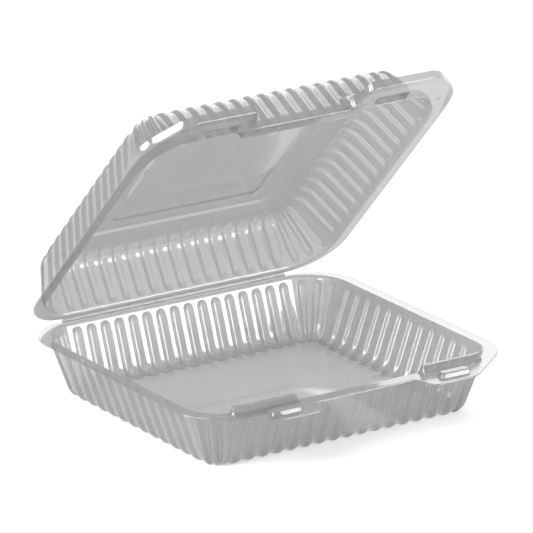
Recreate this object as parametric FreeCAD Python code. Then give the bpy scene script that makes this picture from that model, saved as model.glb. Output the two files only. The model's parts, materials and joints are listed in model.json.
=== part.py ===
import FreeCAD, Part
import math
import os

from FreeCAD import Vector

# Clear hinged food pack, thermoformed from one thin sheet.
# The tray stands on its flat floor, with the origin at the middle of the floor's underside.
# +X runs along the hinge, +Y points to the hinge at the back, +Z is up.

# Driving dimensions, in millimetres and degrees
SHEET = 0.4
RIM_HEIGHT = 38.3
LID_HEIGHT = 34.4
OPEN_ANGLE = 46.7

# Wall outline at the rim, and how far the walls lean in down to the floor or the top panel
RIM_HALF_X = 106.3
RIM_HALF_Y = 96.8
RIM_CORNER = 26.8
FLOOR_LEAN_X = 15.8
FLOOR_LEAN_Y = 16.3
TOP_LEAN_X = 15.8
TOP_LEAN_Y = 10.8
STRAIGHT_HALF_X = RIM_HALF_X - RIM_CORNER
STRAIGHT_HALF_Y = RIM_HALF_Y - RIM_CORNER

# Flange, the flat rim of both halves, measured out from the walls
FLANGE_SIDE = 8.2
FLANGE_BACK = 5.0
FLANGE_FRONT = 9.7
LOBE_REACH = 24.7
LOBE_BACK = 8.8
LOBE_SIDE = 34.3
LID_LOBE_REACH = 30.7
LID_LOBE_FRONT = 7.2
LID_LOBE_SIDE = 16.3
NOTCH_HALF_WIDTH = 36.5
NOTCH_SLOPE = 4.0
BACK_CORNER_RADIUS = 32.0
LOBE_SIDE_RADIUS = 34.0
LOBE_FRONT_RADIUS = 16.0
NOTCH_RADIUS = 4.0
FLANGE_HALF_WIDTH = RIM_HALF_X + FLANGE_SIDE
HINGE_Y = RIM_HALF_Y + FLANGE_BACK
FRONT_EDGE_Y = -RIM_HALF_Y - FLANGE_FRONT

# Flutes, the half-round ribs in the walls
FLUTE_COUNT_X = 16
FLUTE_COUNT_Y = 12
FLUTE_END_X = 0.225
FLUTE_END_Y = 3.75
CORNER_FLUTE_COUNT = 3
CORNER_FOOT_SHARE = 0.3
CORNER_CREST_SHARE = 0.14
FLUTE_WIDTH = 6.0
FLUTE_PITCH_X = (2 * (STRAIGHT_HALF_X - FLUTE_END_X) - FLUTE_WIDTH) / (FLUTE_COUNT_X - 1)
FLUTE_PITCH_Y = (2 * (STRAIGHT_HALF_Y - FLUTE_END_Y) - FLUTE_WIDTH) / (FLUTE_COUNT_Y - 1)
FLUTE_CREST = 2.6
FLUTE_DEPTH = 1.8
FLUTE_TOP_GAP = 3.0
EDGE_ROUND = 4.5
EDGE_INSET = 3.0

# Lock shoulders of the lid, above the two front lobes
SHOULDER_DEPTH = 8.0
SHOULDER_FACE = 7.5
SHOULDER_TOP = 16.0
SHOULDER_INNER_X = 40.0

# Lock ridges and lugs on the tray's lobes, and the pockets over the lugs
RIDGE_INNER_X = 45.0
RIDGE_LENGTH = 38.0
RIDGE_FROM_WALL = 1.2
RIDGE_WIDTH = 4.6
RIDGE_HEIGHT = 5.0
RIDGE_RADIUS = 1.2
LUG_X = 61.0
LUG_FROM_WALL = 14.7
LUG_LENGTH = 22.0
LUG_WIDTH = 8.0
LUG_HEIGHT = 3.0
LUG_DRAFT = 1.0
LUG_RADIUS = 2.2
LUG_CLEARANCE = 0.6
LUG_Y = -RIM_HALF_Y - LUG_FROM_WALL

# Lip that turns up along the lid's front edge
LIP_HEIGHT = 5.5
LIP_START_BACK = 24.8
LIP_RUN = 24.0
LIP_START_Y = LIP_START_BACK - RIM_HALF_Y

# Picture-frame ridge of the top panel
FRAME_INSET_X = 22.5
FRAME_INSET_Y = 22.0
FRAME_WIDTH = 15.0
FRAME_HEIGHT = 1.8
FRAME_RADIUS = 10.0
FRAME_DRAFT = 1.2
FRAME_HALF_X = RIM_HALF_X - TOP_LEAN_X - FRAME_INSET_X
FRAME_HALF_Y = RIM_HALF_Y - TOP_LEAN_Y - FRAME_INSET_Y

# Pressed bosses: how deep a boss sinks into its sheet and how far below the sheet's face its
# hollow starts, both in thicknesses of the sheet, and how much of the draft its corners lose
BOSS_SINK = 0.5
HOLLOW_SINK = 1.2
CORNER_DRAFT_SHARE = 0.4

# Quads of the walls that are flatter than this are single faces
FLATNESS = 1e-6

# Living hinge
BEAD_RADIUS = 1.2
HINGE_CLEARANCE = 0.3
FLANGE_GAP = 0.3


def mirrored(points):
    """Corner list of the right half, continued on the left half in reverse."""
    return points + [(-x, y, r) for x, y, r in reversed(points)]


def rounded_wire(corners, z):
    """Closed wire through the corners (x, y, fillet radius), with tangent arcs."""
    edges = []
    ends = []
    count = len(corners)
    for i, (x, y, radius) in enumerate(corners):
        here = Vector(x, y, z)
        before = Vector(corners[i - 1][0], corners[i - 1][1], z)
        after = Vector(corners[(i + 1) % count][0], corners[(i + 1) % count][1], z)
        into = (before - here).normalize()
        out = (after - here).normalize()
        half = into.getAngle(out) / 2
        reach = radius / math.tan(half)
        middle = here + (into + out).normalize() * (radius / math.sin(half) - radius)
        start = here + into * reach
        end = here + out * reach
        edges.append(Part.Arc(start, middle, end).toShape())
        ends.append((start, end))
    for i in range(count):
        stop = ends[(i + 1) % count][0]
        if ends[i][1].distanceToPoint(stop) > 1e-4:
            edges.append(Part.LineSegment(ends[i][1], stop).toShape())
    return Part.Wire(Part.__sortEdges__(edges))


def flange_corners(back_y, lobe_y, lobe_side, lobe_reach):
    """Corners of a flange: hinge edge at the back, two lobes and a notch in front."""
    front_y = -RIM_HALF_Y - lobe_reach
    right = [
        (NOTCH_HALF_WIDTH, FRONT_EDGE_Y, NOTCH_RADIUS),
        (NOTCH_HALF_WIDTH + NOTCH_SLOPE, front_y, NOTCH_RADIUS),
        (RIM_HALF_X - lobe_side, front_y, LOBE_FRONT_RADIUS),
        (FLANGE_HALF_WIDTH, lobe_y, LOBE_SIDE_RADIUS),
        (FLANGE_HALF_WIDTH, back_y, BACK_CORNER_RADIUS),
    ]
    return mirrored(right)


def flute_marks(count, pitch):
    """Places along one wall: (distance from its middle, is it on a crest)."""
    marks = []
    for k in range(count):
        middle = (k - (count - 1) / 2) * pitch
        marks.append((middle - FLUTE_WIDTH / 2, 0))
        marks.append((middle - FLUTE_CREST / 2, 1))
        marks.append((middle + FLUTE_CREST / 2, 1))
        marks.append((middle + FLUTE_WIDTH / 2, 0))
    return marks


def corner_marks():
    """Places round one corner: (angle in radians, is it on a crest)."""
    step = math.pi / 2 / (CORNER_FLUTE_COUNT + 1)
    marks = [(0.0, 0)]
    for k in range(CORNER_FLUTE_COUNT):
        middle = (k + 1) * step
        marks.append((middle - step * CORNER_FOOT_SHARE, 0))
        marks.append((middle - step * CORNER_CREST_SHARE, 1))
        marks.append((middle + step * CORNER_CREST_SHARE, 1))
        marks.append((middle + step * CORNER_FOOT_SHARE, 0))
    marks.append((math.pi / 2, 0))
    return marks


def wall_outline(half_x, half_y, flute, shoulder=0.0):
    """Corner points of the fluted wall at one height, anticlockwise from the right wall."""
    points = []
    for turn in range(4):
        along_x = turn % 2 == 1
        count = FLUTE_COUNT_X if along_x else FLUTE_COUNT_Y
        pitch = FLUTE_PITCH_X if along_x else FLUTE_PITCH_Y
        out = half_y if along_x else half_x
        angle = turn * math.pi / 2
        normal = Vector(math.cos(angle), math.sin(angle), 0)
        along = Vector(-math.sin(angle), math.cos(angle), 0)
        for place, crest in flute_marks(count, pitch):
            extra = shoulder if turn == 3 and abs(place) > SHOULDER_INNER_X else 0
            points.append(normal * (out + crest * flute + extra) + along * place)
        for place, crest in corner_marks():
            theta = angle + place
            centre = corner_centre(turn)
            reach = Vector(math.cos(theta) * (half_x - STRAIGHT_HALF_X + crest * flute),
                           math.sin(theta) * (half_y - STRAIGHT_HALF_Y + crest * flute), 0)
            extra = shoulder * shoulder_share(turn, place)
            points.append(centre + reach - Vector(0, extra, 0))
    return points


def corner_centre(turn):
    """Centre of the rounded corner after wall number turn."""
    sign_x = 1 if turn in (0, 3) else -1
    sign_y = 1 if turn in (0, 1) else -1
    return Vector(sign_x * STRAIGHT_HALF_X, sign_y * STRAIGHT_HALF_Y, 0)


def shoulder_share(turn, place):
    """How far the lock shoulder still reaches round the two front corners."""
    if turn == 2:
        return max(0.0, math.sin(place)) ** 2
    if turn == 3:
        return max(0.0, math.cos(place)) ** 2
    return 0.0


def shrunk(points, distance):
    """The same outline moved inward by the distance, corner by corner."""
    result = []
    count = len(points)
    for i, here in enumerate(points):
        before = (here - points[i - 1]).normalize()
        after = (points[(i + 1) % count] - here).normalize()
        turn = Vector(-before.y, before.x, 0) + Vector(-after.y, after.x, 0)
        inward = turn.normalize()
        scale = distance / max(0.4, inward.dot(Vector(-before.y, before.x, 0)))
        result.append(here + inward * scale)
    return result


def lifted(points, z):
    return [Vector(p.x, p.y, z) for p in points]


def polygon(points):
    return Part.makePolygon(points + [points[0]])


def holed_face(outer, hole):
    return Part.makeFace([outer, hole], "Part::FaceMakerBullseye")


def band_faces(low, high):
    """Flat faces between two outlines with the same number of points."""
    faces = []
    count = len(low)
    for i in range(count):
        j = (i + 1) % count
        a, b, c, d = low[i], low[j], high[j], high[i]
        normal = (b - a).cross(d - a)
        if abs(normal.normalize().dot(c - a)) < FLATNESS:
            faces.append(Part.Face(Part.makePolygon([a, b, c, d, a])))
        else:
            faces.append(Part.Face(Part.makePolygon([a, b, c, a])))
            faces.append(Part.Face(Part.makePolygon([a, c, d, a])))
    return faces


def wall_faces(outlines):
    faces = []
    for low, high in zip(outlines, outlines[1:]):
        faces += band_faces(low, high)
    return faces


def formed_half(levels, flange):
    """One formed half, upright with its rim at z = 0 and its panel below.

    levels lists (depth below the rim, half x, half y, flute, shoulder), rim first.
    The outside lies on these outlines and the inside one sheet further in.
    """
    outside = []
    inside = []
    deepest = levels[-1][0]
    for depth, half_x, half_y, flute, shoulder in levels:
        outline = wall_outline(half_x, half_y, flute, shoulder)
        outer_depth = SHEET if depth == 0 else depth
        inner_depth = deepest - SHEET if depth == deepest else depth
        outside.append(lifted(outline, -outer_depth))
        inside.append(lifted(shrunk(outline, SHEET), -inner_depth))
    top = holed_face(rounded_wire(flange, 0), polygon(inside[0]))
    under = holed_face(rounded_wire(flange, -SHEET), polygon(outside[0]))
    edge = rounded_wire(flange, -SHEET).extrude(Vector(0, 0, SHEET)).Faces
    panel_out = Part.Face(polygon(outside[-1]))
    panel_in = Part.Face(polygon(inside[-1]))
    faces = [top, under, panel_out, panel_in] + edge
    faces += wall_faces(outside) + wall_faces(inside)
    shell = Part.makeShell(faces)
    shell.sewShape()
    solid = Part.makeSolid(Part.Shell(shell.Faces) if shell.ShapeType != "Shell" else shell)
    if solid.Volume < 0:
        solid.reverse()
    return solid


def drafted_block(x, y, z, length, width, height, draft, radius):
    """Block with sloping sides and rounded corners, standing on z or hanging from it."""
    rise = abs(height)
    corners = []
    tops = []
    for sx, sy in ((1, -1), (1, 1), (-1, 1), (-1, -1)):
        corners.append((x + sx * length / 2, y + sy * width / 2, radius))
        tops.append((x + sx * (length / 2 - draft), y + sy * (width / 2 - draft), radius - draft * CORNER_DRAFT_SHARE))
    foot = rounded_wire(corners, z)
    head = rounded_wire(tops, z + math.copysign(rise, height))
    return Part.makeLoft([foot, head], True, True)


def bump(x, y, z, length, width, height, draft, radius):
    """Boss pressed out of a sheet whose face lies at z: its solid, and the hollow under it."""
    sheet = math.copysign(SHEET, height)
    solid = drafted_block(x, y, z - sheet * BOSS_SINK, length, width, height + sheet * BOSS_SINK, draft, radius)
    hollow = drafted_block(x, y, z - sheet * HOLLOW_SINK, length - 2 * SHEET, width - 2 * SHEET,
                           height + sheet * (HOLLOW_SINK - 1), draft, radius - SHEET / 2)
    return solid, hollow


def pressed(body, bumps, extra):
    """The body with every bump pressed out of it and the extra solids joined on."""
    solids = [solid for solid, hollow in bumps]
    hollows = [hollow for solid, hollow in bumps]
    return body.fuse(solids + extra).cut(hollows)


def tray():
    """The base: flat floor, fluted walls, flange with locks, and the hinge bead."""
    floor_x = RIM_HALF_X - FLOOR_LEAN_X
    floor_y = RIM_HALF_Y - FLOOR_LEAN_Y
    levels = [
        (0.0, RIM_HALF_X, RIM_HALF_Y, 0.0, 0.0),
        (FLUTE_TOP_GAP, *wall_place(FLUTE_TOP_GAP, RIM_HEIGHT, FLOOR_LEAN_X, FLOOR_LEAN_Y), FLUTE_DEPTH, 0.0),
        (RIM_HEIGHT - EDGE_ROUND, floor_x + EDGE_INSET / 2, floor_y + EDGE_INSET / 2, FLUTE_DEPTH, 0.0),
        (RIM_HEIGHT, floor_x - EDGE_INSET, floor_y - EDGE_INSET, FLUTE_DEPTH, 0.0),
    ]
    flange = flange_corners(HINGE_Y, LOBE_BACK - RIM_HALF_Y, LOBE_SIDE, LOBE_REACH)
    body = formed_half(levels, flange)
    bumps = []
    for side in (-1, 1):
        ridge_x = side * (RIDGE_INNER_X + RIDGE_LENGTH / 2)
        ridge_y = -RIM_HALF_Y - RIDGE_FROM_WALL - RIDGE_WIDTH / 2
        bumps.append(bump(ridge_x, ridge_y, 0, RIDGE_LENGTH, RIDGE_WIDTH, RIDGE_HEIGHT, LUG_DRAFT, RIDGE_RADIUS))
        bumps.append(bump(side * LUG_X, LUG_Y, 0, LUG_LENGTH, LUG_WIDTH, LUG_HEIGHT, LUG_DRAFT, LUG_RADIUS))
    bead_length = 2 * (FLANGE_HALF_WIDTH - BACK_CORNER_RADIUS)
    bead = Part.makeCylinder(BEAD_RADIUS, bead_length,
                             Vector(-bead_length / 2, HINGE_Y, FLANGE_GAP / 2), Vector(1, 0, 0))
    body = pressed(body, bumps, [bead])
    body.translate(Vector(0, 0, RIM_HEIGHT))
    return body


def wall_place(depth, full_depth, lean_x, lean_y):
    """Half sizes of the sloping wall at a depth below the rim."""
    share = depth / full_depth
    return RIM_HALF_X - lean_x * share, RIM_HALF_Y - lean_y * share


def hinge_height():
    return RIM_HEIGHT + FLANGE_GAP / 2


def lid_lip(flange):
    """Lip that turns up along the lid's front edge and runs out along its sides."""
    outer = Part.Face(rounded_wire(flange, 0))
    wire = rounded_wire(flange, 0).makeOffset2D(-SHEET)
    ring = outer.cut(Part.Face(wire)).extrude(Vector(0, 0, -LIP_HEIGHT))
    far_x = 2 * FLANGE_HALF_WIDTH
    far_y = LIP_START_Y - 2 * RIM_HALF_Y
    wedge = Part.Face(polygon([
        Vector(-far_x, LIP_START_Y, 0),
        Vector(-far_x, LIP_START_Y - LIP_RUN, -LIP_HEIGHT),
        Vector(-far_x, far_y, -LIP_HEIGHT),
        Vector(-far_x, far_y, 0),
    ])).extrude(Vector(2 * far_x, 0, 0))
    return ring.common(wedge)


def top_frame():
    """Picture-frame ridge of the top panel: its solid, and the hollow under it."""
    z = -LID_HEIGHT
    rise = FRAME_HEIGHT + SHEET * (HOLLOW_SINK - 1)
    outer = drafted_block(0, 0, z + SHEET * BOSS_SINK, 2 * FRAME_HALF_X, 2 * FRAME_HALF_Y,
                          -FRAME_HEIGHT - SHEET * BOSS_SINK, FRAME_DRAFT, FRAME_RADIUS)
    inner = drafted_block(0, 0, z + SHEET * HOLLOW_SINK, 2 * (FRAME_HALF_X - SHEET), 2 * (FRAME_HALF_Y - SHEET),
                          -rise, FRAME_DRAFT, FRAME_RADIUS - SHEET / 2)
    span_x = 2 * (FRAME_HALF_X - FRAME_WIDTH)
    span_y = 2 * (FRAME_HALF_Y - FRAME_WIDTH)
    well = drafted_block(0, 0, z - rise, span_x, span_y, rise + SHEET, FRAME_DRAFT, FRAME_RADIUS)
    drop = drafted_block(0, 0, z - rise - SHEET, span_x - 2 * SHEET, span_y - 2 * SHEET,
                         rise + SHEET, FRAME_DRAFT, FRAME_RADIUS - SHEET / 2)
    return outer.cut(drop), inner.cut(well)


def lid():
    """The lid, formed like the tray, turned over and swung open about the hinge."""
    top_x = RIM_HALF_X - TOP_LEAN_X
    top_y = RIM_HALF_Y - TOP_LEAN_Y
    levels = [
        (0.0, RIM_HALF_X, RIM_HALF_Y, 0.0, SHOULDER_DEPTH),
        (FLUTE_TOP_GAP, *wall_place(FLUTE_TOP_GAP, LID_HEIGHT, TOP_LEAN_X, TOP_LEAN_Y), FLUTE_DEPTH, SHOULDER_DEPTH),
        (SHOULDER_FACE, *wall_place(SHOULDER_FACE, LID_HEIGHT, TOP_LEAN_X, TOP_LEAN_Y), FLUTE_DEPTH, SHOULDER_DEPTH),
        (SHOULDER_TOP, *wall_place(SHOULDER_TOP, LID_HEIGHT, TOP_LEAN_X, TOP_LEAN_Y), FLUTE_DEPTH, 0.0),
        (LID_HEIGHT - EDGE_ROUND, top_x + EDGE_INSET / 2, top_y + EDGE_INSET / 2, FLUTE_DEPTH, 0.0),
        (LID_HEIGHT, top_x - EDGE_INSET, top_y - EDGE_INSET, FLUTE_DEPTH, 0.0),
    ]
    back_y = HINGE_Y - BEAD_RADIUS - HINGE_CLEARANCE
    flange = flange_corners(back_y, -RIM_HALF_Y - LID_LOBE_FRONT, LID_LOBE_SIDE, LID_LOBE_REACH)
    body = formed_half(levels, flange)
    length = LUG_LENGTH + 2 * (LUG_CLEARANCE + SHEET)
    width = LUG_WIDTH + 2 * (LUG_CLEARANCE + SHEET)
    height = LUG_HEIGHT + LUG_CLEARANCE
    pocket_radius = LUG_RADIUS + LUG_CLEARANCE
    bumps = [top_frame()]
    for side in (-1, 1):
        bumps.append(bump(side * LUG_X, LUG_Y, -SHEET, length, width, -height, LUG_DRAFT, pocket_radius))
    body = pressed(body, bumps, [lid_lip(flange)])
    body = body.mirror(Vector(0, 0, 0), Vector(0, 0, 1))
    body.translate(Vector(0, 0, RIM_HEIGHT + FLANGE_GAP))
    body.rotate(Vector(0, HINGE_Y, hinge_height()), Vector(1, 0, 0), -OPEN_ANGLE)
    return body


def one_solid(shape):
    return shape.Solids[0] if len(shape.Solids) == 1 else shape


def main():
    os.makedirs("parts", exist_ok=True)
    for name, shape in (("base_tray", tray()), ("lid", lid())):
        shape = one_solid(shape)
        box = shape.BoundBox
        print(name, shape.ShapeType, "valid", shape.isValid(), "solids", len(shape.Solids),
              "volume cm3", round(shape.Volume / 1000, 2), "faces", len(shape.Faces))
        print("  x %.1f..%.1f  y %.1f..%.1f  z %.1f..%.1f"
              % (box.XMin, box.XMax, box.YMin, box.YMax, box.ZMin, box.ZMax))
        shape.exportStep("parts/" + name + ".step")


main()
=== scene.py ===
# %% [markdown]
# # A clear hinged food pack
# The pack is one sheet of clear plastic, heated and sucked into a mould. A fluted tray and a
# fluted lid share a crease at the back, and they lock at two lobes in front. The solids come
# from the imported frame. Here each half is made again as a smooth thin sheet, because the
# flutes, the rounded flute ends and the rolled rim are what the eye reads in clear plastic.

# %% Load the frame
import json
import math

import bpy
import numpy as np
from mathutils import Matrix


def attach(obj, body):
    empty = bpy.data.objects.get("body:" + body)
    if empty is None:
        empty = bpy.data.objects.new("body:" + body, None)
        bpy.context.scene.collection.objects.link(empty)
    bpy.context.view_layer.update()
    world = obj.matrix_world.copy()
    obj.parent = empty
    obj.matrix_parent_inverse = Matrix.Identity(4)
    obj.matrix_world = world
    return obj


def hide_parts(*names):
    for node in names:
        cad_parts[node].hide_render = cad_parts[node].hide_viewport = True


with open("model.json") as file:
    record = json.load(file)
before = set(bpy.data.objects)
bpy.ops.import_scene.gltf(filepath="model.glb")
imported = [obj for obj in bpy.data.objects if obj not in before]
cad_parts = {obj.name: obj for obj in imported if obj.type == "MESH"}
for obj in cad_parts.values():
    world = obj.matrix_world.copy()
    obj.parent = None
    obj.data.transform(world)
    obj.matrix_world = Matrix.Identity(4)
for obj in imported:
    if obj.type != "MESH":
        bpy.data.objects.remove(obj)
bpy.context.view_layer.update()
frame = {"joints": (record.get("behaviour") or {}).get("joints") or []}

MM = 0.001
TINY = 1e-9
hinge = frame["joints"][0]
HINGE_Y = hinge["pos_m"][1]
HINGE_Z = hinge["pos_m"][2]
OPEN_ANGLE = math.radians(-hinge["range_deg"][0])
FLANGE_GAP = 0.3 * MM
RIM_Z = HINGE_Z - FLANGE_GAP / 2
print("hinge at y", HINGE_Y, "z", HINGE_Z, "lid open by", round(math.degrees(OPEN_ANGLE), 1))

# %% [markdown]
# ## The camera
# The photograph is nearly a parallel view, so it was taken from far away with a long lens. The
# angle, distance and lens below were fitted to the straight rims and the corners of the floor.
# A camera could also be aimed by eye, but a fitted one lets every later difference be a
# difference of shape.

# %% Camera
VIEW_AZIMUTH = math.radians(-33.79)
VIEW_HEIGHT = math.radians(18.33)
VIEW_DISTANCE = 3.8995
VIEW_RISE = 0.08227
VIEW_SIDE = 0.00031
LENS = 431.5
SENSOR_WIDTH = 36.0


def make_camera():
    """Camera on the line of sight (sin a cos e, -cos a cos e, sin e), moved up in its own plane."""
    back = np.array([math.sin(VIEW_AZIMUTH) * math.cos(VIEW_HEIGHT),
                     -math.cos(VIEW_AZIMUTH) * math.cos(VIEW_HEIGHT),
                     math.sin(VIEW_HEIGHT)])
    right = np.cross(-back, (0.0, 0.0, 1.0))
    right /= np.linalg.norm(right)
    up = np.cross(right, -back)
    data = bpy.data.cameras.new("camera")
    data.lens = LENS
    data.sensor_width = SENSOR_WIDTH
    data.clip_end = 50.0
    camera = bpy.data.objects.new("camera", data)
    bpy.context.scene.collection.objects.link(camera)
    camera.location = back * VIEW_DISTANCE + right * VIEW_SIDE + up * VIEW_RISE
    camera.rotation_euler = (math.pi / 2 - VIEW_HEIGHT, 0.0, VIEW_AZIMUTH)
    bpy.context.scene.camera = camera
    return camera


camera = make_camera()
print("camera at", [round(v, 3) for v in camera.location])

# %% [markdown]
# ## Walking round the pack
# Both halves are rounded rectangles at every height. A point on such a loop is a centre point
# plus an outward direction: along a straight wall the centre slides and the direction stays,
# and round a corner the centre stays and the direction turns. One walk like this serves every
# height, because only the distance from the centre changes with the draft of the wall.

# %% The walk
STRAIGHT_HALF = np.array([79.5, 70.0]) * MM
FLUTES = {"along_x": (16, 10.17 * MM), "along_y": (12, 11.5 * MM)}
FLUTE_HALF_WIDTH = 3.1 * MM
CORNER_FLUTES = 3
CORNER_SHARE = 0.30
WALL_STEP = 0.8 * MM
CORNER_STEPS = 64


def flute_offset(place, count, pitch):
    """Distance from the nearest flute's middle, in half widths of a flute."""
    number = np.clip(np.round(place / pitch + (count - 1) / 2), 0, count - 1)
    return (place - (number - (count - 1) / 2) * pitch) / FLUTE_HALF_WIDTH


def walk_round():
    """Centre points, outward angles and flute offsets of one loop, anticlockwise from the right wall."""
    centre, angle, offset = [], [], []
    for turn in range(4):
        name = "along_x" if turn % 2 else "along_y"
        length = STRAIGHT_HALF[0] if turn % 2 else STRAIGHT_HALF[1]
        steps = int(round(2 * length / WALL_STEP))
        place = np.linspace(-length, length, steps, endpoint=False)
        out = turn * math.pi / 2
        along = np.array([-math.sin(out), math.cos(out)])
        wall = STRAIGHT_HALF * np.abs([math.cos(out), math.sin(out)])
        sign = np.array([math.copysign(1, math.cos(out) + TINY), math.copysign(1, math.sin(out) + TINY)])
        centre.append(wall * sign + place[:, None] * along)
        angle.append(np.full(steps, out))
        offset.append(flute_offset(place, *FLUTES[name]))
        bend = np.linspace(0, math.pi / 2, CORNER_STEPS, endpoint=False)
        corner = STRAIGHT_HALF * np.array([1 if turn in (0, 3) else -1, 1 if turn in (0, 1) else -1])
        centre.append(np.tile(corner, (CORNER_STEPS, 1)))
        angle.append(out + bend)
        step = math.pi / 2 / (CORNER_FLUTES + 1)
        nearest = np.clip(np.round(bend / step), 1, CORNER_FLUTES)
        offset.append((bend - nearest * step) / (CORNER_SHARE * step))
    return np.concatenate(centre), np.concatenate(angle), np.concatenate(offset)


centre, angle, offset = walk_round()
outward = np.stack([np.cos(angle), np.sin(angle)], axis=-1)
print("points in one loop:", len(angle))

# %% [markdown]
# ## The flange
# The flange is the flat rim that the two halves meet on. Its edge has round back corners and, in
# front, two lobes with a notch between them. The edge is a short list of corners, each with a
# fillet. From every point of the walk a ray runs outward until it meets that edge, which gives
# each wall point its own point on the edge, so the flange can be filled with straight rows.

# %% Flange outline
FLANGE_HALF_WIDTH = 114.5 * MM
BACK_CORNER_RADIUS = 32 * MM
NOTCH_HALF_WIDTH = 36.5 * MM
NOTCH_Y = -106.5 * MM
LOBE_INNER_X = 40.5 * MM
NOTCH_RADIUS = 4 * MM
LOBE_SIDE_RADIUS = 34 * MM
LOBE_FRONT_RADIUS = 16 * MM
BEAD_RADIUS = 1.2 * MM
HINGE_CLEARANCE = 0.3 * MM
PARALLEL = 1e-15
TRAY_LOBE = (-88 * MM, 72 * MM, -121.5 * MM)
LID_LOBE = (-104 * MM, 90 * MM, -127.5 * MM)


def flange_corners(back_y, lobe_corner_y, lobe_corner_x, lobe_front_y):
    """Corners (x, y, fillet radius) of the flange edge: up its right side, then down its left side."""
    right = [(NOTCH_HALF_WIDTH, NOTCH_Y, NOTCH_RADIUS),
             (LOBE_INNER_X, lobe_front_y, NOTCH_RADIUS),
             (lobe_corner_x, lobe_front_y, LOBE_FRONT_RADIUS),
             (FLANGE_HALF_WIDTH, lobe_corner_y, LOBE_SIDE_RADIUS),
             (FLANGE_HALF_WIDTH, back_y, BACK_CORNER_RADIUS)]
    return right + [(-x, y, r) for x, y, r in reversed(right)]


def rounded_outline(corners, steps=12):
    """Closed outline: each corner becomes an arc between its two tangent points."""
    points = []
    for i, (x, y, radius) in enumerate(corners):
        here = np.array([x, y])
        into = np.array(corners[i - 1][:2]) - here
        out = np.array(corners[(i + 1) % len(corners)][:2]) - here
        into /= np.linalg.norm(into)
        out /= np.linalg.norm(out)
        half = math.acos(np.clip(into @ out, -1, 1)) / 2
        middle = here + (into + out) / np.linalg.norm(into + out) * radius / math.sin(half)
        start = here + into * radius / math.tan(half) - middle
        end = here + out * radius / math.tan(half) - middle
        t = np.linspace(0, 1, steps)[:, None]
        sweep = math.pi - 2 * half
        arc = (start * np.sin((1 - t) * sweep) + end * np.sin(t * sweep)) / math.sin(sweep)
        points.append(middle + arc)
    return np.concatenate(points)


def edge_reach(outline):
    """Distance from each centre point to the outline along its outward direction."""
    a = outline
    b = np.roll(outline, -1, axis=0)
    side = b - a
    rel = a[None] - centre[:, None]
    cross = outward[:, None, 0] * side[None, :, 1] - outward[:, None, 1] * side[None, :, 0]
    cross = np.where(np.abs(cross) < PARALLEL, np.nan, cross)
    ray = (rel[..., 0] * side[None, :, 1] - rel[..., 1] * side[None, :, 0]) / cross
    share = (rel[..., 0] * outward[:, None, 1] - rel[..., 1] * outward[:, None, 0]) / cross
    hit = (ray > 0) & (share >= -TINY) & (share <= 1 + TINY)
    return np.nanmin(np.where(hit, ray, np.nan), axis=1)


tray_edge = edge_reach(rounded_outline(flange_corners(HINGE_Y, *TRAY_LOBE)))
lid_back_y = HINGE_Y - BEAD_RADIUS - HINGE_CLEARANCE
lid_edge = edge_reach(rounded_outline(flange_corners(lid_back_y, *LID_LOBE)))
print("reach of the tray's edge, mm:", round(tray_edge.min() / MM, 1), round(tray_edge.max() / MM, 1))

# %% [markdown]
# ## The formed sheet
# A formed half is one surface: a rolled edge, the flat flange, a small fillet, the sloping wall,
# a large round at the floor, and the floor itself. Each is a run of rows of the same walk. The
# flutes are half-round ribs pushed out of that surface along its normal. A dome formula gives
# them their round ends: it falls from 1 on the middle line to 0 at the foot, and past the end
# of a flute the distance from the end counts too. Modelling one flute and repeating it would
# leave seams, so the whole wall is pushed at once.

# %% Flutes and shoulders
SHEET = 0.4 * MM
FLUTE_DEPTH = 1.8 * MM
FLUTE_START = 3.0 * MM
RIM_HALF = np.array([106.3, 96.8]) * MM
RIM_FILLET = 1.5 * MM
SHOULDER_DEPTH = 8.0 * MM
SHOULDER_FACE = 7.0 * MM
SHOULDER_TOP = 17.0 * MM
SHOULDER_INNER_X = 40.0 * MM
SHOULDER_RAMP = 2.0 * MM
SHOULDER_FACING = 1.2
SHOULDER_CUT = 0.1
LUG_X = 61.0 * MM
LUG_Y = -111.5 * MM
LUG_SIZE = np.array([22.0, 8.0]) * MM
LUG_CLEARANCE = 0.8 * MM
POCKET_HEIGHT = 3.4 * MM
POCKET_SLOPE = 1.2 * MM


def smooth(x):
    """Smooth step: 0 below 0, 1 above 1, 3x2 - 2x3 between."""
    x = np.clip(x, 0, 1)
    return x * x * (3 - 2 * x)


def flute_push(run, start, stop):
    """Height of a flute, 0 to 1: one less the square of the offset and of the distance past its ends."""
    past = np.maximum(start + FLUTE_HALF_WIDTH - run, run - (stop - FLUTE_HALF_WIDTH))
    reach = np.hypot(offset[None, :], np.maximum(past / FLUTE_HALF_WIDTH, 0)[:, None])
    return 1 - np.clip(reach, 0, 1) ** 2


def shoulder_share():
    """1 where the lock shoulders stand, 0 elsewhere, fading round the two front corners."""
    front = smooth((np.abs(centre[:, 0]) - SHOULDER_INNER_X) / SHOULDER_RAMP)
    facing = np.clip(-outward[:, 1], 0, 1)
    return front * smooth(facing * SHOULDER_FACING - SHOULDER_CUT)


print("shoulders cover", int((shoulder_share() > 0.5).sum()), "of", len(angle), "points")

# %% [markdown]
# ## The rows
# Every row is the same walk at its own distance from the centre points and at its own depth.
# The flange rows slide from the edge to the wall. In the lid, two shallow pockets rise out of
# them, where the tray's lugs snap in: a pocket is only a smooth step in depth, so it costs no
# extra piece and leaves no seam. The wall rows start with a small fillet and end in a large
# round, which a thin sheet needs at every corner, or it would tear in the mould.

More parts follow.
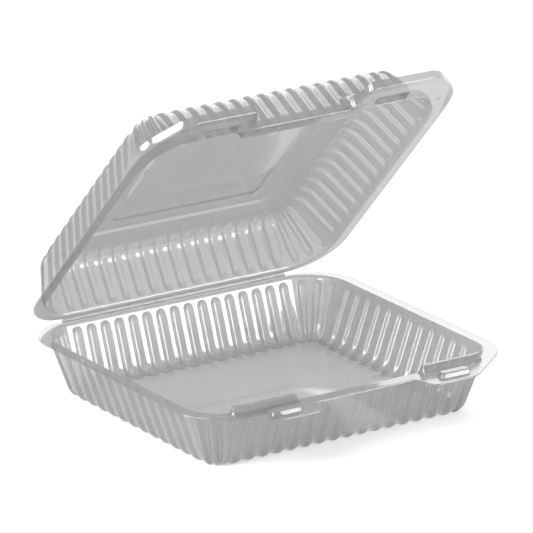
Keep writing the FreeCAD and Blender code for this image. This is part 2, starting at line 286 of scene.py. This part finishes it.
# %% Rows of a formed half
LIP_START_Y = -72 * MM
LIP_RUN = 24 * MM
EDGE_ROLL = 0.8 * MM
EDGE_BAND = 1.2 * MM
EDGE_SHARES = np.array([1.0, 0.55, 0.2, 0.05])
EDGE_FLARE = np.array([0.0, 0.1, 0.3, 0.6]) * MM
LOWER_FLUTE = (1.2 * MM, SHOULDER_FACE + 1 * MM)
UPPER_FLUTE_START = SHOULDER_TOP - 1.5 * MM
FILLET_ROWS = 4
ROUND_ROWS = 9
SINK_SHARE = 0.8


def wall_point(depth, height, end_half, inset):
    """Loop at one depth: half sizes run in a straight line from the rim to the floor, less an inset."""
    half = RIM_HALF + (end_half - RIM_HALF) * (depth / height)[:, None] - inset[:, None] - SHEET
    return centre[None] + outward[None] * (half - STRAIGHT_HALF)[:, None, :]


def pocket_rise(plan):
    """Height of the two lug pockets: a plateau with smooth sides, 0 on the rest of the flange."""
    inside_x = LUG_SIZE[0] / 2 + LUG_CLEARANCE - np.abs(np.abs(plan[..., 0]) - LUG_X)
    inside_y = LUG_SIZE[1] / 2 + LUG_CLEARANCE - np.abs(plan[..., 1] - LUG_Y)
    return POCKET_HEIGHT * smooth(inside_x / POCKET_SLOPE) * smooth(inside_y / POCKET_SLOPE)


def edge_rows(reach, lip_height, flat_shares, shoulder):
    """Rolled edge and flat flange: rows from the lip's end to the flange, and inward to the wall."""
    edge = centre + outward * reach[:, None]
    lip = EDGE_ROLL + lip_height * smooth((LIP_START_Y - edge[:, 1]) / LIP_RUN)
    rolled = edge[None] - outward[None] * EDGE_FLARE[:, None, None]
    rolled_depth = EDGE_SHARES[:, None] * lip[None]
    inner = centre + outward * (RIM_HALF - STRAIGHT_HALF + RIM_FILLET - SHEET)
    start = edge - outward * EDGE_BAND
    flat = start[None] + (inner - start)[None] * flat_shares[:, None, None]
    flat_depth = np.zeros(flat.shape[:2])
    if shoulder:
        flat[..., 1] -= SHOULDER_DEPTH * shoulder_share() * flat_shares[:, None]
        flat_depth = pocket_rise(flat)
    return np.concatenate([rolled, flat]), np.concatenate([rolled_depth, flat_depth])


def wall_rows(height, end_half, edge_round, levels, shoulder):
    """Fillet, sloping wall and floor round, with the flutes pushed out along the surface's normal."""
    bend = np.linspace(0, math.pi / 2, FILLET_ROWS)
    arc = np.linspace(0, math.pi / 2, ROUND_ROWS)[1:]
    top = RIM_FILLET * (1 - np.cos(bend))
    depth = np.concatenate([top, levels, height - SHEET - edge_round + edge_round * np.sin(arc)])
    inset = np.concatenate([-RIM_FILLET * (1 - np.sin(bend)), np.zeros(len(levels)),
                            edge_round * (1 - np.cos(arc))])
    tilt = np.concatenate([np.zeros(len(bend) + len(levels)), arc])
    run = np.concatenate([top, levels, height - SHEET - edge_round + edge_round * arc])
    plan = wall_point(depth, height, end_half, inset)
    stop = run[-1]
    push = flute_push(run, FLUTE_START, stop)
    if shoulder:
        share = shoulder_share()
        split = np.maximum(flute_push(run, *LOWER_FLUTE), flute_push(run, UPPER_FLUTE_START, stop))
        push = push + (split - push) * share
        step = np.clip((SHOULDER_TOP - depth) / (SHOULDER_TOP - SHOULDER_FACE), 0, 1)
        plan[..., 1] -= SHOULDER_DEPTH * step[:, None] * share
    push = push * FLUTE_DEPTH
    plan = plan + outward[None] * (push * np.cos(tilt)[:, None])[..., None]
    sunk = depth[:, None] + push * np.sin(tilt)[:, None] * SINK_SHARE
    return plan, np.minimum(sunk, height - SHEET)


def floor_rows(last_plan, last_depth, rings):
    """Rings of the floor: the last loop shrunk to each half size, each at its own depth."""
    size = np.array([last_plan[:, 0].max(), last_plan[:, 1].max()])
    plan = np.stack([last_plan * (np.array([x, y]) * MM / size) for x, y, rise in rings])
    base = float(last_depth.mean())
    depth = np.stack([np.full(len(last_plan), base + rise * MM) for x, y, rise in rings])
    return plan, depth


def formed_half(reach, lip_height, flat_shares, height, end_half, edge_round, levels, shoulder, rings):
    """All rows of one half as (rows, points, xyz), with z as the depth below the rim."""
    edge_plan, edge_depth = edge_rows(reach, lip_height, flat_shares, shoulder)
    wall_plan, wall_depth = wall_rows(height, end_half, edge_round, levels, shoulder)
    floor_plan, floor_depth = floor_rows(wall_plan[-1], wall_depth[-1], rings)
    plan = np.concatenate([edge_plan, wall_plan, floor_plan])
    depth = np.concatenate([edge_depth, wall_depth, floor_depth])
    return np.concatenate([plan, depth[..., None]], axis=-1)


print("a pocket rises by", round(float(pocket_rise(np.array([LUG_X, LUG_Y]))) / MM, 2), "mm over its lug")

# %% [markdown]
# ## From rows to a closed sheet
# A thin sheet needs an inside and an outside, or its edges vanish and it can't be weighed. The
# second surface is the first one moved along its normals by the sheet's thickness. The two are
# joined along the free edge, and a point closes each at the middle of the floor. Solidify would
# do the same, but here the normals come from the grid itself, so the flutes stay crisp.

# %% Closed sheet
SHARP_ANGLE = math.radians(50)


def grid_normals(rows):
    """Normals of a grid of rows closed round the loop: the cross product of its two differences."""
    down = np.gradient(rows, axis=0)
    round_ = np.roll(rows, -1, axis=1) - np.roll(rows, 1, axis=1)
    normal = np.cross(down, round_)
    return normal / np.maximum(np.linalg.norm(normal, axis=-1, keepdims=True), 1e-12)


def mesh_object(name, points, faces):
    """Mesh object at the origin from an array of points and a list of face index arrays."""
    mesh = bpy.data.meshes.new(name)
    mesh.from_pydata(points.tolist(), [], [row for block in faces for row in block.tolist()])
    mesh.validate()
    mesh.update()
    piece = bpy.data.objects.new(name, mesh)
    bpy.context.scene.collection.objects.link(piece)
    mesh.polygons.foreach_set("use_smooth", np.ones(len(mesh.polygons), dtype=bool))
    mesh.set_sharp_from_angle(angle=SHARP_ANGLE)
    return piece


def loop_quads(rows, count, start):
    """Quads between neighbouring rows of a closed grid whose points start at an index."""
    index = start + np.arange(rows * count).reshape(rows, count)
    nxt = np.roll(index, -1, axis=1)
    return np.stack([index[:-1], nxt[:-1], nxt[1:], index[1:]], axis=-1).reshape(-1, 4)


def closed_sheet(name, rows, outside):
    """Closed thin sheet: rows, the same rows moved by the thickness, a strip at the edge, two poles."""
    count, length = rows.shape[:2]
    normal = grid_normals(rows)
    if np.sum(normal[count // 2] * outside[None]) < 0:
        normal = -normal
    other = rows + normal * SHEET
    points = np.concatenate([rows.reshape(-1, 3), other.reshape(-1, 3),
                             rows[-1].mean(axis=0)[None], other[-1].mean(axis=0)[None]])
    size = count * length
    near = loop_quads(count, length, 0)
    far = loop_quads(count, length, size)[:, ::-1]
    ring = np.arange(length)
    after = np.roll(ring, -1)
    strip = np.stack([ring, ring + size, after + size, after], axis=-1)
    last = (count - 1) * length
    near_pole = np.stack([ring + last, after + last, np.full(length, 2 * size)], axis=-1)
    far_last = last + size
    far_pole = np.stack([after + far_last, ring + far_last, np.full(length, 2 * size + 1)], axis=-1)
    piece = mesh_object(name, points, [near, far, strip, near_pole, far_pole])
    turn_outward(piece)
    return piece


def turn_outward(piece):
    """Flip the mesh if its signed volume, the sum of tetrahedra from the origin, is negative."""
    mesh = piece.data
    mesh.calc_loop_triangles()
    tris = np.zeros(len(mesh.loop_triangles) * 3, dtype=np.int32)
    mesh.loop_triangles.foreach_get("vertices", tris)
    points = np.zeros(len(mesh.vertices) * 3)
    mesh.vertices.foreach_get("co", points)
    a, b, c = points.reshape(-1, 3)[tris.reshape(-1, 3)].transpose(1, 0, 2)
    volume = np.einsum("ij,ij->i", a, np.cross(b, c)).sum() / 6
    if volume < 0:
        mesh.flip_normals()
    print(piece.name, "triangles", len(mesh.loop_triangles), "volume cm3", round(abs(volume) * 1e6, 2))


print("a grid of 2 rows of 4 points makes", len(loop_quads(2, 4, 0)), "quads")

# %% [markdown]
# ## Tray
# The tray stands upright, so a depth below the rim turns into a height by taking it from the
# rim's height. Its floor is flat, because that is what it stands on.

# %% Tray
TRAY_END_HALF = np.array([92.5, 82.5]) * MM
TRAY_ROUND = 5.5 * MM
TRAY_LEVELS = np.array([2.4, 3.0, 3.5, 4.1, 4.9, 6.0, 7.5, 12.0, 20.0, 28.0]) * MM
TRAY_FLAT = np.linspace(0, 1, 6, endpoint=False)
TRAY_RINGS = [(80, 70, 0), (60, 52, 0), (30, 26, 0), (8, 7, 0)]


def upright(rows):
    """Tray's place: each depth below the rim becomes a height above the floor."""
    placed = rows.copy()
    placed[..., 2] = RIM_Z - rows[..., 2]
    return placed


outside_way = np.concatenate([outward, np.zeros((len(angle), 1))], axis=1)
tray_rows = upright(formed_half(tray_edge, 0.0, TRAY_FLAT, RIM_Z, TRAY_END_HALF, TRAY_ROUND,
                                TRAY_LEVELS, False, TRAY_RINGS))
tray = closed_sheet("tray_sheet", tray_rows, outside_way)

# %% [markdown]
# ## Lid
# The lid is the same kind of half turned over: its depth runs up from the rim. It has lock
# shoulders above the lobes, an upturned lip in front, and a raised picture-frame ridge on its
# panel. It is made closed and then turned about the hinge line to where the photograph has it.

# %% Lid
LID_HEIGHT = 34.4 * MM
LID_END_HALF = np.array([92.5, 86.8]) * MM
LID_ROUND = 8.0 * MM
LIP_HEIGHT = 4.7 * MM
LID_LEVELS = np.array([2.2, 3.2, 4.6, 6.0, 7.0, 8.2, 10.5, 14.5, 16.0, 17.0, 18.2, 20.0, 23.0]) * MM
LID_FLAT = np.array([0, 0.22, 0.42, 0.485, 0.505, 0.53, 0.555, 0.72, 0.89, 0.91, 0.935, 0.965])
LID_RINGS = [(76, 71, 0), (68, 64, 0), (66.8, 62.8, 1.6), (54.2, 50.2, 1.6),
             (53, 49, 0), (26, 24, 0), (7, 6, 0)]
HINGE_POINT = np.array([0.0, HINGE_Y, HINGE_Z])


def swung(rows, angle_from_closed):
    """Closed position turned about the hinge line: y and z rotate by the opening angle."""
    y = rows[..., 1] - HINGE_Y
    z = rows[..., 2] - HINGE_Z
    c = math.cos(angle_from_closed)
    s = math.sin(angle_from_closed)
    return np.stack([rows[..., 0], HINGE_Y + y * c + z * s, HINGE_Z - y * s + z * c], axis=-1)


def on_lid(rows):
    """Lid's place: each depth becomes a height over the closed rim, and the whole is swung open."""
    placed = rows.copy()
    placed[..., 2] = RIM_Z + FLANGE_GAP + rows[..., 2]
    return swung(placed, OPEN_ANGLE)


lid_rows = on_lid(formed_half(lid_edge, LIP_HEIGHT, LID_FLAT, LID_HEIGHT, LID_END_HALF, LID_ROUND,
                              LID_LEVELS, True, LID_RINGS))
lid_way = swung(outside_way + HINGE_POINT, OPEN_ANGLE) - HINGE_POINT
lid = closed_sheet("lid_sheet", lid_rows, lid_way)

# %% [markdown]
# ## Locks
# Each lobe of the tray carries a small rectangular lug, which snaps into the pocket that is
# already formed in the lid's flange. On the real pack a lug is pressed up from below. Here it is
# a closed piece of its own, made of rings of a rounded rectangle that shrink as they rise, since
# its shape never changes and its foot is hidden in the sheet.

# %% Lugs
LUG_HEIGHT = 3.0 * MM
LUG_DRAFT = 1.0 * MM
LUG_RADIUS = 2.2 * MM
BOSS_RISE = np.array([0.0, 0.75, 0.93, 1.0, 1.0])
BOSS_SHRINK = np.array([0.0, 0.8, 1.1, 1.6, 2.4])
CORNER_SHRINK = 0.3
LARGEST_CORNER = 0.98
SEAT = 0.1 * MM


def boss_rows(x, y, size, height, draft, radius, steps=10):
    """Rings of a raised rounded rectangle: foot, sloping side, rounded top edge, flat top."""
    shrink = BOSS_SHRINK * draft
    turn = np.linspace(0, 2 * math.pi, 4 * steps, endpoint=False)
    sign = np.stack([np.sign(np.cos(turn) + TINY), np.sign(np.sin(turn) + TINY)], axis=-1)
    way = np.stack([np.cos(turn), np.sin(turn)], axis=-1)
    half = size / 2 - shrink[:, None]
    round_ = np.minimum(radius - shrink * CORNER_SHRINK, half.min(axis=1) * LARGEST_CORNER)
    plan = sign[None] * (half - round_[:, None])[:, None] + way[None] * round_[:, None, None]
    plan = plan + np.array([x, y])
    depth = np.broadcast_to((BOSS_RISE * height)[:, None], plan.shape[:2])
    return np.concatenate([plan, depth[..., None]], axis=-1)


def cap_solid(name, rows):
    """Closed solid from rings: quads between them and a pole at each end."""
    count, length = rows.shape[:2]
    poles = [rows[0].mean(axis=0)[None], rows[-1].mean(axis=0)[None]]
    points = np.concatenate([rows.reshape(-1, 3)] + poles)
    ring = np.arange(length)
    after = np.roll(ring, -1)
    last = (count - 1) * length
    size = count * length
    foot = np.stack([after, ring, np.full(length, size)], axis=-1)
    top = np.stack([ring + last, after + last, np.full(length, size + 1)], axis=-1)
    piece = mesh_object(name, points, [loop_quads(count, length, 0), foot, top])
    turn_outward(piece)
    return piece


def raised_on_tray(rows):
    """Place on the tray's flange, with the foot a little way into the sheet."""
    placed = rows.copy()
    placed[..., 2] = RIM_Z + rows[..., 2] - SEAT
    return placed


def raised_on_lid(rows):
    """Place on the closed lid's flange, a little way into the sheet, and swung open with the lid."""
    placed = rows.copy()
    placed[..., 2] = RIM_Z + FLANGE_GAP + SHEET + rows[..., 2] - SEAT
    return swung(placed, OPEN_ANGLE)


SIDES = ((-1, "left"), (1, "right"))
tray_trim = []
lid_trim = []
for side, label in SIDES:
    lug = boss_rows(side * LUG_X, LUG_Y, LUG_SIZE, LUG_HEIGHT, LUG_DRAFT, LUG_RADIUS)
    tray_trim.append(cap_solid("lock_lug_" + label, raised_on_tray(lug)))

# %% [markdown]
# ## Lock ridges
# Behind each lug a short fluted ridge follows the tray's corner, and the lid's shoulder closes
# over it. It is a low wall swept along the same walk, so it sits between the wall and the
# shoulder by itself. Each row across it is a trapezoid that leans with the flutes.

# %% Ridges along the tray's front corners
RIDGE_HEIGHT = 5.0 * MM
RIDGE_CLEARANCE = 0.6 * MM
RIDGE_INNER_X = 44.0 * MM
RIDGE_TURN = math.radians(24)
RIDGE_FLUTE = 0.6 * MM
RIDGE_ACROSS = np.array([0.0, 0.17, 0.24, 0.56, 0.63, 1.0])
RIDGE_RISE = np.array([0.0, 0.93, 1.0, 1.0, 0.93, 0.0])
RIDGE_LEAN = np.array([0.0, 1.0, 0.9, 0.1, 0.0, 0.0])
RIDGE_END = 0.04


def ridge_rows(side):
    """Low fluted wall between the tray's wall and the lid's shoulder: each row is a trapezoid."""
    turned = np.arccos(np.clip(-outward[:, 1], -1, 1))
    chosen = (np.abs(centre[:, 0]) > RIDGE_INNER_X) & (centre[:, 0] * side > 0) & (turned < RIDGE_TURN)
    order = np.flatnonzero(chosen)
    way = outward[order]
    wall_side = centre[order] + way * (RIM_HALF - STRAIGHT_HALF + SHEET)
    lid_side = wall_side - way * (2 * SHEET + RIDGE_CLEARANCE)
    lid_side[:, 1] -= SHOULDER_DEPTH * np.cos(turned[order]) ** 2
    push = np.cos(np.clip(np.abs(offset[order]), 0, 1) * math.pi / 2) * RIDGE_FLUTE
    plan = wall_side[:, None] + (lid_side - wall_side)[:, None] * RIDGE_ACROSS[None, :, None]
    plan = plan + way[:, None] * (RIDGE_LEAN[None] * push[:, None])[..., None]
    place = np.linspace(0, 1, len(order))
    rise = RIDGE_HEIGHT * np.minimum(smooth(place / RIDGE_END), smooth((1 - place) / RIDGE_END))
    depth = RIDGE_RISE[None] * rise[:, None] + SEAT
    return np.concatenate([plan, depth[..., None]], axis=-1)


for side, label in SIDES:
    tray_trim.append(cap_solid("lock_ridge_" + label, raised_on_tray(ridge_rows(side))))

# %% [markdown]
# ## Hinge and stacking dimples
# The crease shows as a thin rounded bead between the two flanges. It is a capped rod along the
# hinge line. Two small round dimples sit on each front lobe of the lid.

# %% Bead and dimples
BEAD_HALF_LENGTH = FLANGE_HALF_WIDTH - BACK_CORNER_RADIUS
DIMPLES = [(102, -99), (99, -77)]
DIMPLE_RADIUS = 1.8 * MM
DIMPLE_HEIGHT = 0.9 * MM
DIMPLE_SHARES = np.array([1.0, 0.85, 0.6, 0.3])
ROD_FIRST_BEND = 0.15
ROD_END_RINGS = 5


def rod_rows(half_length, radius, steps=20):
    """Rod along X with round ends: rings whose radius follows a half circle at each end."""
    bend = np.linspace(ROD_FIRST_BEND, math.pi / 2, ROD_END_RINGS)
    end_x = half_length - radius + radius * np.cos(bend)
    end_r = radius * np.sin(bend)
    x = np.concatenate([-end_x, end_x[::-1]])
    r = np.concatenate([end_r, end_r[::-1]])
    turn = np.linspace(0, 2 * math.pi, steps, endpoint=False)
    ring = np.stack([np.zeros(steps), np.cos(turn), np.sin(turn)], axis=-1)
    rows = ring[None] * r[:, None, None]
    rows[..., 0] += x[:, None]
    return rows + HINGE_POINT


def dimple_rows(x, y, steps=20):
    """Small dome: rings whose height follows a cosine from rim to middle."""
    turn = np.linspace(0, 2 * math.pi, steps, endpoint=False)
    way = np.stack([np.cos(turn), np.sin(turn)], axis=-1)
    plan = np.array([x, y]) * MM + way[None] * (DIMPLE_SHARES * DIMPLE_RADIUS)[:, None, None]
    depth = np.cos(DIMPLE_SHARES * math.pi / 2) * DIMPLE_HEIGHT
    depth = np.broadcast_to(depth[:, None], plan.shape[:2])
    return np.concatenate([plan, depth[..., None]], axis=-1)


tray_trim.append(cap_solid("hinge_bead", rod_rows(BEAD_HALF_LENGTH, BEAD_RADIUS)))
for number, (x, y) in enumerate(DIMPLES):
    for side, label in SIDES:
        rows = raised_on_lid(dimple_rows(side * x, y))
        lid_trim.append(cap_solid("dimple_%s_%d" % (label, number + 1), rows))

# %% [markdown]
# ## Clear plastic
# Thin clear sheet shows itself by gloss: bright streaks where a flute turns towards a lamp, and
# a grey body where several walls stand behind each other. A fully refracting glass would bend
# the view behind it and go noisy, and a plain alpha would lose the streaks. So the shader is
# a glossy grey coat that lets part of the light straight through, with a faint waviness from
# the moulding.

# %% Plastic
PLASTIC_GREY = (0.26, 0.265, 0.26, 1.0)
FACE_ON_OPACITY = 0.48
EDGE_ON_OPACITY = 0.66
PLASTIC_ROUGHNESS = 0.16
PLASTIC_IOR = 1.57
COAT_IOR = 1.9
COAT_ROUGHNESS = 0.06
SEEN_FACE_ON = 0.1
SEEN_EDGE_ON = 0.95
WAVE_SCALE = 55.0
WAVE_STRENGTH = 0.25
WAVE_HEIGHT = 0.0006


def clear_plastic(name, grey, roughness):
    """Glossy grey that lets light through face on and closes up where it is seen edge on."""
    material = bpy.data.materials.new(name)
    material.use_nodes = True
    nodes = material.node_tree.nodes
    links = material.node_tree.links
    shader = nodes["Principled BSDF"]
    shader.inputs["Base Color"].default_value = grey
    shader.inputs["Roughness"].default_value = roughness
    shader.inputs["IOR"].default_value = PLASTIC_IOR
    shader.inputs["Coat Weight"].default_value = 1.0
    shader.inputs["Coat IOR"].default_value = COAT_IOR
    shader.inputs["Coat Roughness"].default_value = COAT_ROUGHNESS
    slant = nodes.new("ShaderNodeLayerWeight")
    slant.inputs["Blend"].default_value = 0.5
    opacity = nodes.new("ShaderNodeMapRange")
    opacity.inputs["From Min"].default_value = SEEN_FACE_ON
    opacity.inputs["From Max"].default_value = SEEN_EDGE_ON
    opacity.inputs["To Min"].default_value = FACE_ON_OPACITY
    opacity.inputs["To Max"].default_value = EDGE_ON_OPACITY
    links.new(slant.outputs["Facing"], opacity.inputs["Value"])
    links.new(opacity.outputs["Result"], shader.inputs["Alpha"])
    place = nodes.new("ShaderNodeTexCoord")
    wave = nodes.new("ShaderNodeTexNoise")
    wave.inputs["Scale"].default_value = WAVE_SCALE
    wave.inputs["Detail"].default_value = 2.0
    bump = nodes.new("ShaderNodeBump")
    bump.inputs["Strength"].default_value = WAVE_STRENGTH
    bump.inputs["Distance"].default_value = WAVE_HEIGHT
    links.new(place.outputs["Object"], wave.inputs["Vector"])
    links.new(wave.outputs["Fac"], bump.inputs["Height"])
    links.new(bump.outputs["Normal"], shader.inputs["Normal"])
    return material


plastic = clear_plastic("clear_plastic", PLASTIC_GREY, PLASTIC_ROUGHNESS)
pieces = [tray, lid] + tray_trim + lid_trim
for piece in pieces:
    piece.data.materials.append(plastic)
print(len(pieces), "pieces in clear plastic")

# %% [markdown]
# ## Riding on the frame
# Every piece of the tray rides on the base body and every piece of the lid on the lid body, so
# the joint moves them as the solids move. The two sheets stand in for the two solids.

# %% Bodies
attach(tray, "base")
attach(lid, "lid")
for piece in tray_trim:
    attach(piece, "base")
for piece in lid_trim:
    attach(piece, "lid")
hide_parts("base_tray")
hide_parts("lid")
print("on the tray", 1 + len(tray_trim), "and on the lid", 1 + len(lid_trim), "pieces")

# %% [markdown]
# ## Floor
# The photograph has a white background and a faint shadow. A plain white floor gives both. It
# glows a little by itself, so that it stays white where the lamps are weak. A backdrop curved up
# behind the pack would do too, but here the world behind the floor is white already.

# %% Floor
FLOOR_SIZE = 6.0
FLOOR_WHITE = (0.9, 0.9, 0.9, 1.0)
FLOOR_ROUGHNESS = 0.9
FLOOR_SHINE = 0.1
FLOOR_GLOW = 0.35


def make_floor():
    """Large matt white square under the pack, which only stands there for the picture."""
    half = FLOOR_SIZE / 2
    corners = np.array([(-half, -half, 0), (half, -half, 0), (half, half, 0), (-half, half, 0)])
    floor = mesh_object("floor", corners, [np.array([[0, 1, 2, 3]])])
    material = bpy.data.materials.new("floor_white")
    material.use_nodes = True
    shader = material.node_tree.nodes["Principled BSDF"]
    shader.inputs["Base Color"].default_value = FLOOR_WHITE
    shader.inputs["Roughness"].default_value = FLOOR_ROUGHNESS
    shader.inputs["Specular IOR Level"].default_value = FLOOR_SHINE
    shader.inputs["Emission Color"].default_value = (1.0, 1.0, 1.0, 1.0)
    shader.inputs["Emission Strength"].default_value = FLOOR_GLOW
    floor.data.materials.append(material)
    return floor


floor = make_floor()
print("floor", FLOOR_SIZE, "m wide")

# %% [markdown]
# ## Light
# Clear plastic shows what it mirrors, so each lamp stands where a wall of the pack mirrors it
# towards the camera. The key lamp lights the pack from the left. The fill lamp in front lands in
# the tray's back wall. The broad rim lamp behind draws the streaks on the lid's front flutes, the
# side lamp those on the right wall, and a weak low one lifts the tray's floor. The world is white
# to the camera and in reflections, while the light that it sheds stays at a plain level.

# %% World and lamps
WORLD_LEVEL = 0.35
TARGET = (0.0, 0.0, 0.08)
LAMPS = [("key", 22.0, (0.8, 1.1), (-1.4, -0.4, 1.2)),
         ("fill", 12.0, (0.9, 0.5), (1.08, -1.575, 0.66)),
         ("rim", 15.0, (1.6, 1.6), (1.06, 0.83, 1.42)),
         ("side", 7.0, (0.5, 0.5), (-1.7, 0.3, 0.5)),
         ("low_back", 3.0, (1.6, 0.5), (1.1, 1.65, 0.62))]


def make_world():
    """White for camera, glossy and transmission rays, and a plain level for the light that falls."""
    world = bpy.data.worlds.new("world")
    bpy.context.scene.world = world
    world.use_nodes = True
    nodes = world.node_tree.nodes
    links = world.node_tree.links
    nodes.clear()
    path = nodes.new("ShaderNodeLightPath")
    seen = nodes.new("ShaderNodeBackground")
    seen.inputs["Color"].default_value = (1, 1, 1, 1)
    seen.inputs["Strength"].default_value = 1.0
    plain = nodes.new("ShaderNodeBackground")
    plain.inputs["Color"].default_value = (1, 1, 1, 1)
    plain.inputs["Strength"].default_value = WORLD_LEVEL
    first = nodes.new("ShaderNodeMath")
    first.operation = "MAXIMUM"
    second = nodes.new("ShaderNodeMath")
    second.operation = "MAXIMUM"
    mix = nodes.new("ShaderNodeMixShader")
    output = nodes.new("ShaderNodeOutputWorld")
    links.new(path.outputs["Is Camera Ray"], first.inputs[0])
    links.new(path.outputs["Is Glossy Ray"], first.inputs[1])
    links.new(first.outputs[0], second.inputs[0])
    links.new(path.outputs["Is Transmission Ray"], second.inputs[1])
    links.new(second.outputs[0], mix.inputs[0])
    links.new(plain.outputs[0], mix.inputs[1])
    links.new(seen.outputs[0], mix.inputs[2])
    links.new(mix.outputs[0], output.inputs[0])


def area_lamp(name, power, size, place, target):
    """Rectangular lamp that looks from its place at the target."""
    data = bpy.data.lights.new(name, "AREA")
    data.energy = power
    data.shape = "RECTANGLE"
    data.size = size[0]
    data.size_y = size[1]
    lamp = bpy.data.objects.new(name, data)
    bpy.context.scene.collection.objects.link(lamp)
    lamp.location = place
    way = np.array(target) - np.array(place)
    way = way / np.linalg.norm(way)
    lamp.rotation_euler = (math.acos(-way[2]), 0.0, math.atan2(way[1], way[0]) - math.pi / 2)
    return lamp


make_world()
for name, power, size, place in LAMPS:
    area_lamp(name, power, size, place, TARGET)
    print("lamp", name, power, "W")
bpy.context.scene.view_settings.view_transform = "Standard"
